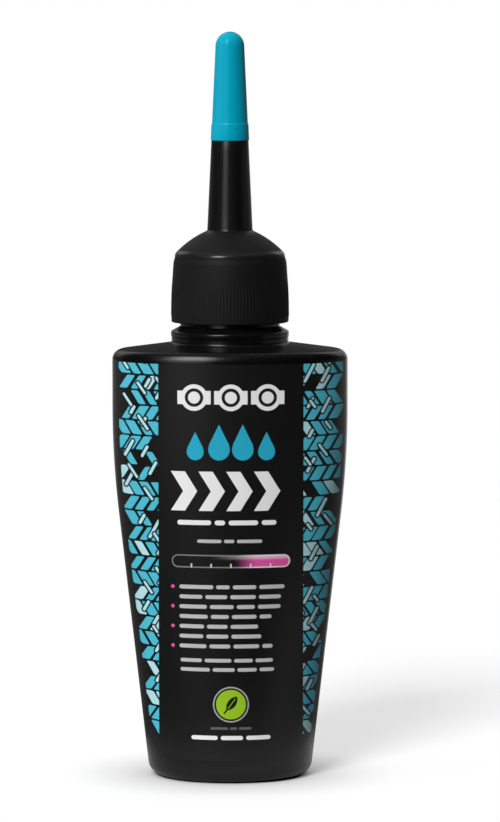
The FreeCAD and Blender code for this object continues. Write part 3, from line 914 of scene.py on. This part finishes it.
def capSkin():
    roofFoot = capSeat + cap["roofBase"]
    spoutFoot = roofFoot + cap["roofRise"]
    bandFoot = roofFoot - cap["roofBand"]
    skirtTop = bandFoot - cap["stepRise"]
    skirtTopRadius = cap["skirt"] - cap["skirtDraft"]
    roofFootRadius = skirtTopRadius - cap["skirtStep"]

    def skirtSide(share):
        return cap["skirt"] - cap["skirtDraft"] * share + 4 * cap["skirtSwell"] * share * (1 - share)

    side = [(skirtSide(share), skirtFoot + (skirtTop - skirtFoot) * share)
            for share in evenly(0, 1, cap["skirtSteps"])[1:-1]]
    chord = Vector((cap["spoutFoot"] - roofFootRadius, cap["roofRise"]))
    sag = math.sqrt(cap["roofRadius"] ** 2 - (chord.length / 2) ** 2)
    centre = Vector((roofFootRadius, roofFoot)) + chord / 2 - Vector((chord.y, -chord.x)).normalized() * sag
    first = math.atan2(roofFoot - centre.y, roofFootRadius - centre.x)
    last = math.atan2(spoutFoot - centre.y, cap["spoutFoot"] - centre.x)
    dome = []
    for angle in evenly(first, last, cap["domeSteps"])[1:-1]:
        out, up = polar(cap["roofRadius"], angle)
        dome.append((centre.x + out, centre.y + up))
    slope = cap["roofRise"] / (roofFootRadius - cap["spoutFoot"])

    def underRoof(radius):
        return radius, roofFoot + (roofFootRadius - radius) * slope - cap["roofWall"], 0.3, 3

    path = roundedPath([
        (cap["inner"], skirtFoot, 0.2, 3),
        (cap["skirt"], skirtFoot, 0.25, 5),
        *side,
        (skirtTopRadius, skirtTop, 0.4, 5),
        (roofFootRadius, bandFoot, 0.35, 5),
        (roofFootRadius, roofFoot, cap["roofCorner"], 8),
        *dome,
        (cap["spoutFoot"], spoutFoot, cap["spoutFootRound"], 6),
        (cap["spoutTop"], tipSeat, 0.1, 3),
        (cap["nozzleFoot"], tipSeat, 0.08, 2),
        (cap["nozzleTop"], nozzleEnd, 0.3, 4),
        (cap["outlet"], nozzleEnd, 0.12, 3),
        (cap["nozzleFoot"] - cap["nozzleWall"], tipSeat),
        underRoof(cap["spoutFoot"] - cap["spoutWall"]),
        underRoof(cap["lipInner"]),
        (cap["lipInner"], capSeat, 0.15, 2),
        (cap["lipOuter"], capSeat, 0.15, 2),
        underRoof(cap["lipOuter"]),
        underRoof(cap["inner"]),
    ])
    path = spaced(path + path[:1], cap["longest"])[:-1]
    ribLow, ribHigh = skirtFoot + cap["ribStart"], skirtTop - cap["ribStop"]
    ribMiddle = (ribLow + ribHigh) / 2
    ribPitch = fullTurn * cap["skirt"] / cap["ribs"]

    def ribSwell(column, index):
        # Ribs run out in the skirt's bow from their middle to their top.
        radius, height = path[index]
        if radius < skirtTopRadius or height < ribLow or height > ribHigh:
            return 0
        runOut = max(0, (height - ribMiddle) / (ribHigh - ribMiddle))
        crest = cap["ribHeight"] - (cap["ribHeight"] + cap["ribSink"]) * runOut
        phase = column % cap["ribSteps"] / cap["ribSteps"]
        fromCrest = min(phase, 1 - phase) * ribPitch
        return max(0, crest - cap["ribHeight"] * fromCrest / (cap["ribWidth"] / 2))

    return skinRings(turnedRings(path, cap["ribs"] * cap["ribSteps"], ribSwell), closed=True)


capPiece = addPiece("spout_cap_body", capSkin(), "cap", "cap_black")
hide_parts("spout_cap")


# Tip cap: a tapering push-on cap with a round end and a band round its rim

tip = {
    "rim": 3.45, "bandHeight": 2.85, "bandStep": 0.1, "bandBevel": 0.3, "top": 2.575, "wall": 0.62,
    "crown": 3.0, "pin": 0.7, "pinLength": 1.5, "columns": 128, "domeSteps": 18, "longest": 1.5,
}


def tipSkin():
    domeFoot = tipTop - tip["top"]
    insideTop = tipTop - tip["crown"]
    sideFoot = tip["rim"] - tip["bandStep"]
    fall = (sideFoot - tip["top"]) / (domeFoot - tipSeat)
    bandTop = tipSeat + tip["bandHeight"]
    bevelTop = bandTop + tip["bandBevel"]
    path = roundedPath([
        (0, insideTop - tip["pinLength"]),
        (tip["pin"], insideTop - tip["pinLength"], 0.15, 3),
        (tip["pin"], insideTop, 0.1, 2),
        (tip["top"] - tip["wall"], insideTop, 0.25, 3),
        (tip["rim"] - tip["wall"], tipSeat, 0.12, 3),
        (tip["rim"], tipSeat, 0.16, 5),
        (tip["rim"] - fall * tip["bandHeight"], bandTop, 0.12, 3),
        (sideFoot - fall * (bevelTop - tipSeat), bevelTop, 0.2, 3),
        (tip["top"], domeFoot),
    ])
    path = spaced(path, tip["longest"])
    for lift in evenly(0, quarterTurn, tip["domeSteps"])[1:-1]:
        out, up = polar(tip["top"], lift)
        path.append(Vector((out, domeFoot + up)))
    path.append(Vector((0, tipTop)))
    return skinRings(turnedRings(path, tip["columns"]))


tipPiece = addPiece("tip_cap_body", tipSkin(), "tip", "tip_cyan")
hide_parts("tip_cap")

gate = {
    "angle": -70, "height": 2.4, "radius": 0.36, "sink": 0.16, "steps": 24, "foot": -0.1, "top": 0.11,
    "profile": ((1.0, -0.1), (1.0, 0.02), (0.86, 0.06), (0.62, 0.09), (0.32, 0.105)),
}


def gateSkin():
    # The moulding gate, a low round pip near the top of the band.
    angle = math.radians(gate["angle"])
    outward = Vector((*polar(1, angle), 0))
    aside = Vector((-outward.y, outward.x, 0))
    upward = Vector((0, 0, 1))
    centre = outward * (tip["rim"] - gate["sink"]) + upward * (tipSeat + gate["height"])
    turns = evenly(0, fullTurn, gate["steps"])[:-1]
    rings = [[tuple(centre + outward * gate["foot"])]]
    for share, lift in gate["profile"]:
        rings.append([tuple(centre + outward * lift + (aside * math.cos(turn) + upward * math.sin(turn))
                            * share * gate["radius"]) for turn in turns])
    rings.append([tuple(centre + outward * gate["top"])])
    return skinRings(rings)


addPiece("tip_cap_gate", gateSkin(), "tip", "tip_cyan")

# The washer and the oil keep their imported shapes
for node, slot in (("seal_washer", "seal_white"), ("lubricant", "lubricant_oil")):
    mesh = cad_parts[node].data
    mesh.materials.clear()
    mesh.materials.append(finishes[slot])


# Screw threads on the neck and inside the cap

thread = {
    "pitch": 3.175, "neckCrest": 8.8, "capCrest": 8.3, "foot": 0.85, "crest": 0.4, "low": 84.6,
    "neckTurns": 1.55, "capTurns": 1.2, "steps": 64, "fade": 0.12, "least": 0.02, "sink": 0.2,
}


def threadSkin(rootRadius, crestRadius, low, turns):
    # A ridge along a helix, from its root to its crest, which runs out at both ends.
    foot, flank = thread["foot"], thread["crest"]
    sunk = rootRadius - math.copysign(thread["sink"], crestRadius - rootRadius)
    rings = []
    for share in evenly(0, 1, int(thread["steps"] * turns)):
        grow = min(1, share / thread["fade"], (1 - share) / thread["fade"])
        angle = fullTurn * turns * share
        height = low + thread["pitch"] * turns * share
        crest = rootRadius + (crestRadius - rootRadius) * max(thread["least"], grow)
        section = ((sunk, -foot), (rootRadius, -foot), (crest, -flank),
                   (crest, flank), (rootRadius, foot), (sunk, foot))
        rings.append([(*polar(radius, angle), height + rise) for radius, rise in section])
    points, faces = skinRings(rings)
    corners = range(len(rings[0]))
    last = len(points) - len(corners)
    return points, faces + [tuple(corners), tuple(last + corner for corner in reversed(corners))]


neckRidge = threadSkin(bottle["neck"], thread["neckCrest"], thread["low"], thread["neckTurns"])
capLow = thread["low"] + thread["pitch"] / 2
capRidge = threadSkin(cap["inner"], thread["capCrest"], capLow, thread["capTurns"])
addPiece("neck_thread", neckRidge, "bottle", "bottle_black")
addPiece("cap_thread", capRidge, "cap", "cap_black")
print("pieces made")


# Floor, studio light and camera

# What reflections find low down round the bottle: a band's turn, half its core, half its reach, its level
glowBands = ((1.75, 0.35, 0.7, 0.1), (2.23, 0.1, 0.3, 0.15), (2.88, 0.1, 0.25, 0.7), (-2.88, 0.1, 0.25, 0.2))


def bandGlow(turn):
    return functools.reduce(Flow.most, [turn.near(*place) * level for *place, level in glowBands])


floorLook = {
    "reach": 6.0, "drop": 2e-5, "colour": 0.5, "glow": 0.535, "fade": (0.25, 0.6),
    "frontFade": (0.02, 0.05), "frontShare": 0.8,
    # reach, depth and samples of the painted contact shadow at the bottle's foot
    "contactShadowReach": 0.016, "contactShadowDepth": 1.2, "contactSamples": 16,
    "mirrorFade": (0.015, 0.06), "mirrorShift": (0.007, 0, 0), "mirrorNear": 0.6,
    "mirrorBack": (0.0, 0.05), "mirrorFar": 0.1,
    "sideTurn": 1.15, "sideHalf": (0.35, 0.7), "sideFade": (0.1, 0.3), "sideLevel": 0.17,
}


def makeFloor():
    look, reach = floorLook, floorLook["reach"]
    corners = ((-reach, -reach), (reach, -reach), (reach, reach), (-reach, reach))
    mesh = bpy.data.meshes.new("floor")
    mesh.from_pydata([(x, y, -look["drop"]) for x, y in corners], [], [(0, 1, 2, 3)])
    floor = put("floor", mesh)
    finish, coords = startFinish("pale_floor")
    root = Flow(finish.node_tree)
    away = root.add("ShaderNodeVectorMath", {"operation": "LENGTH"}, {0: coords}, "Value")
    camera, glossy, through = rayKinds(root)
    # Reflections find the floor light close to the bottle, dim behind it and at some turns, and else dark.
    across, depth = axes(coords, "XY")
    shifted = root.add("ShaderNodeVectorMath", {"operation": "DISTANCE"},
                       {0: coords, 1: look["mirrorShift"]}, "Value")
    leaving = shifted.ramp(*look["mirrorFade"])
    turn = root.math("ARCTAN2", across, 0 - depth)
    side = turn.near(look["sideTurn"], *look["sideHalf"]) * (1 - away.ramp(*look["sideFade"]))
    shown = camera.most(depth.ramp(*look["mirrorBack"]) * look["mirrorFar"])
    shown = shown.most((1 - leaving) * look["mirrorNear"]).most(bandGlow(turn) * leaving)
    shown = shown.most(side * leaving * look["sideLevel"])
    seen = camera.most(glossy).most(through) * shown
    lit = root.add("ShaderNodeBsdfDiffuse", inputs={"Color": shown.mix(grey(0), grey(look["colour"]))})
    # A painted contact shadow: ambient occlusion darkens the floor's glow where the bottle stands
    clear = root.add("ShaderNodeAmbientOcclusion", {"samples": look["contactSamples"]},
                     {"Distance": look["contactShadowReach"]}, "AO")
    paintedContactShadow = 1 - (1 - clear) * look["contactShadowDepth"]
    glow = root.add("ShaderNodeEmission", inputs={"Color": seen * paintedContactShadow * look["glow"]})
    white = root.add("ShaderNodeEmission", inputs={"Color": grey(1)})
    near = root.add("ShaderNodeAddShader", inputs={0: lit, 1: glow})
    front = (0 - depth).ramp(*look["frontFade"]) * look["frontShare"]
    far = away.ramp(*look["fade"]).most(front)
    surface = root.add("ShaderNodeMixShader", inputs={0: far * seen, 1: near, 2: white})
    root.add("ShaderNodeOutputMaterial", inputs={"Surface": surface})
    mesh.materials.append(finish)


skyLook = {
    "ambient": 0.06, "topGlow": 0.4, "topFade": (0.5, 0.9), "backGlow": 0.4, "backFade": (0.3, 0.9),
    "gloom": 0.008, "ceiling": 0.14, "ceilingFade": (0.6, 0.9), "backdrop": 0.06, "backdropFade": (0.2, 0.6),
    "bandReach": (0.05, 0.35),
    "cardLevel": 0.56, "cardTurn": 0.5, "cardHalf": (0.15, 0.45), "cardLift": (0.05, 0.45),
    "boxTurn": -0.47, "boxHalf": (0.1, 0.34), "boxLift": (0.2, 0.52), "boxTop": (0.78, 1.05),
    "boxLevel": 6.0, "boxFoot": (-0.3, 0.1), "boxFootLevel": 1.1,
}


def makeWorld():
    # White to the camera; reflections see a soft box front left, cards behind at the sides, and low bands.
    look = skyLook
    world = bpy.data.worlds.new("studio")
    scene.world = world
    world.use_nodes = True
    world.node_tree.nodes.clear()
    root = Flow(world.node_tree)
    direction = root.add("ShaderNodeTexCoord", output="Generated")
    right, back, up = axes(direction, "XYZ")
    turn = root.math("ARCTAN2", right, 0 - back)
    behind = root.math("ARCTAN2", right, back)
    lift = root.math("ARCSINE", up)
    softBox = lift.ramp(*look["boxFoot"]) * look["boxFootLevel"]
    softBox = softBox + lift.ramp(*look["boxLift"]) * look["boxLevel"]
    softBox = softBox * turn.near(look["boxTurn"], *look["boxHalf"])
    softBox = softBox * (1 - lift.ramp(*look["boxTop"]))
    cards = abs(behind).near(look["cardTurn"], *look["cardHalf"]) * lift.ramp(*look["cardLift"])
    bands = bandGlow(turn) * (1 - lift.ramp(*look["bandReach"]))
    shine = softBox.most(back.ramp(*look["backdropFade"]) * look["backdrop"])
    shine = shine.most(cards * look["cardLevel"]).most(bands)
    shine = shine.most(up.ramp(*look["ceilingFade"]) * look["ceiling"]).most(look["gloom"])
    camera, glossy, through = rayKinds(root)
    mirrored = glossy.most(through)
    ambient = look["ambient"] + up.ramp(*look["topFade"]) * look["topGlow"]
    ambient = ambient + back.ramp(*look["backFade"]) * look["backGlow"]
    level = camera.most((1 - camera) * (mirrored * shine + (1 - mirrored) * ambient))
    shade = root.add("ShaderNodeBackground", inputs={"Color": level})
    root.add("ShaderNodeOutputWorld", inputs={"Surface": shade})


lamps = {
    "key": {"turn": -22, "lift": 36, "spread": 20, "level": 0.9, "shadow": True},
    "side": {"turn": -80, "lift": 10, "spread": 60, "level": 0.55, "shadow": False},
}


def addLamp(name, look):
    # A soft lamp far away; what shines in reflections is in the world instead.
    lamp = bpy.data.lights.new(name, "SUN")
    lamp.angle = math.radians(look["spread"])
    lamp.energy = math.pi * look["level"]
    lamp.use_shadow = look["shadow"]
    holder = put(name, lamp)
    turn, lift = math.radians(look["turn"]), math.radians(look["lift"])
    away = Vector((math.sin(turn) * math.cos(lift), -math.cos(turn) * math.cos(lift), math.sin(lift)))
    holder.location = away
    holder.rotation_mode = "QUATERNION"
    holder.rotation_quaternion = away.to_track_quat("Z", "Y")
    holder.visible_glossy = False


view = {"distance": 800.0, "height": 135.0, "aside": 3.575, "aim": 65.55, "focalPixels": 4475.3,
        "frameHeight": 822, "sensor": 36.0, "clip": (0.01, 50)}


def makeCamera():
    data = bpy.data.cameras.new("camera")
    data.sensor_width = view["sensor"]
    data.lens = view["focalPixels"] * data.sensor_width / view["frameHeight"]
    data.clip_start, data.clip_end = view["clip"]
    camera = put("camera", data)
    place = Vector((view["aside"], -view["distance"], view["height"])) * mm
    aim = Vector((view["aside"], 0, view["aim"])) * mm
    camera.location = place
    camera.rotation_mode = "QUATERNION"
    camera.rotation_quaternion = (aim - place).to_track_quat("-Z", "Y")
    scene.camera = camera


makeFloor()
makeWorld()
for name, look in lamps.items():
    addLamp(name, look)
makeCamera()
print("studio made")
